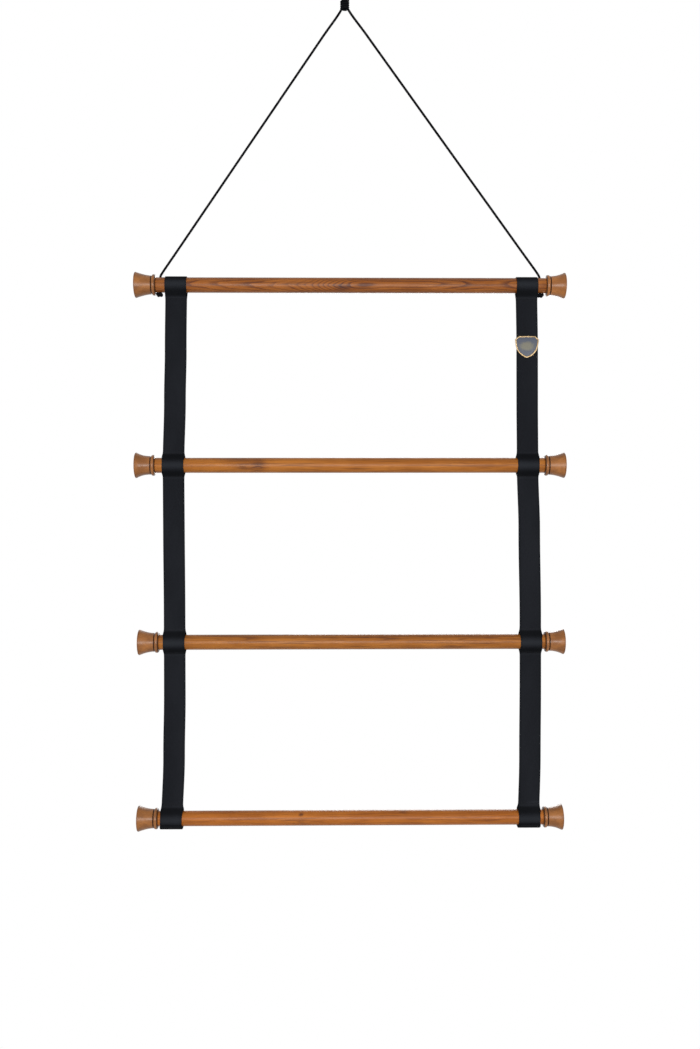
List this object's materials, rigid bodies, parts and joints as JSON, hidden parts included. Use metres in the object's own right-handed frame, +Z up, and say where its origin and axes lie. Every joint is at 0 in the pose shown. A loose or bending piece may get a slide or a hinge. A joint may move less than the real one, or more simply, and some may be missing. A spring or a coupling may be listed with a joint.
{
  "type": "hanging rack ladder",
  "caption": "Hanging rack ladder: turned wooden rungs sewn into two webbing straps and hung from one knotted cord.",
  "frame": {"origin": "top of the inside of the hanging loop, where a hook bears on the cord", "axes": "+Z up, +X along the rungs towards the viewer's right, front faces -Y"},
  "size_m": [0.802, 0.0474, 1.5987],
  "materials": {
    "rung_wood": "satin stained lacquer",
    "finial_wood": "satin waxed",
    "webbing": "woven polypropylene",
    "cord": "braided",
    "badge_metal": "polished cast",
    "badge_enamel": "enamel",
    "steel": "plated"
  },
  "bodies": {
    "root": {"cord_left": "cord", "cord_right": "cord", "cord_loop": "cord", "loop_knot": "cord", "knot_left": "cord", "knot_right": "cord", "rung_1": "rung_wood", "finial_1_left": "finial_wood", "finial_1_right": "finial_wood"},
    "span_1": {"web_1_left_front": "webbing", "web_1_left_back": "webbing", "sleeve_2_left": "webbing", "sleeve_1_left": "webbing", "web_1_right_front": "webbing", "web_1_right_back": "webbing", "sleeve_2_right": "webbing", "sleeve_1_right": "webbing", "badge_plate": "badge_metal", "badge_inlay": "badge_enamel", "badge_screw_lower": "steel", "badge_screw_upper": "steel", "badge_washer_lower": "steel", "badge_washer_upper": "steel"},
    "span_2": {"web_2_left_front": "webbing", "web_2_left_back": "webbing", "sleeve_3_left": "webbing", "web_2_right_front": "webbing", "web_2_right_back": "webbing", "sleeve_3_right": "webbing"},
    "span_3": {"web_3_left_front": "webbing", "web_3_left_back": "webbing", "sleeve_4_left": "webbing", "lap_left": "webbing", "web_3_right_front": "webbing", "web_3_right_back": "webbing", "sleeve_4_right": "webbing", "lap_right": "webbing"},
    "rung_2_body": {"rung_2": "rung_wood", "finial_2_left": "finial_wood", "finial_2_right": "finial_wood"},
    "rung_3_body": {"rung_3": "rung_wood", "finial_3_left": "finial_wood", "finial_3_right": "finial_wood"},
    "rung_4_body": {"rung_4": "rung_wood", "finial_4_left": "finial_wood", "finial_4_right": "finial_wood"}
  },
  "joints": [
    {"name": "fold_1", "type": "hinge", "parent": "root", "child": "span_1", "pos_m": [0.01, 0, -0.576], "axis": [1, 0, 0], "range_deg": [-90, 90]},
    {"name": "fold_2", "type": "hinge", "parent": "span_1", "child": "span_2", "pos_m": [0.01, 0, -0.911], "axis": [-1, 0, 0], "range_deg": [-90, 90]},
    {"name": "fold_3", "type": "hinge", "parent": "span_2", "child": "span_3", "pos_m": [0.01, 0, -1.241], "axis": [1, 0, 0], "range_deg": [-90, 90]},
    {"name": "turn_2", "type": "hinge", "parent": "span_1", "child": "rung_2_body", "pos_m": [0.01, 0, -0.911], "axis": [1, 0, 0], "continuous": true},
    {"name": "turn_3", "type": "hinge", "parent": "span_2", "child": "rung_3_body", "pos_m": [0.01, 0, -1.241], "axis": [1, 0, 0], "continuous": true},
    {"name": "turn_4", "type": "hinge", "parent": "span_3", "child": "rung_4_body", "pos_m": [0.01, 0, -1.571], "axis": [1, 0, 0], "continuous": true}
  ]
}
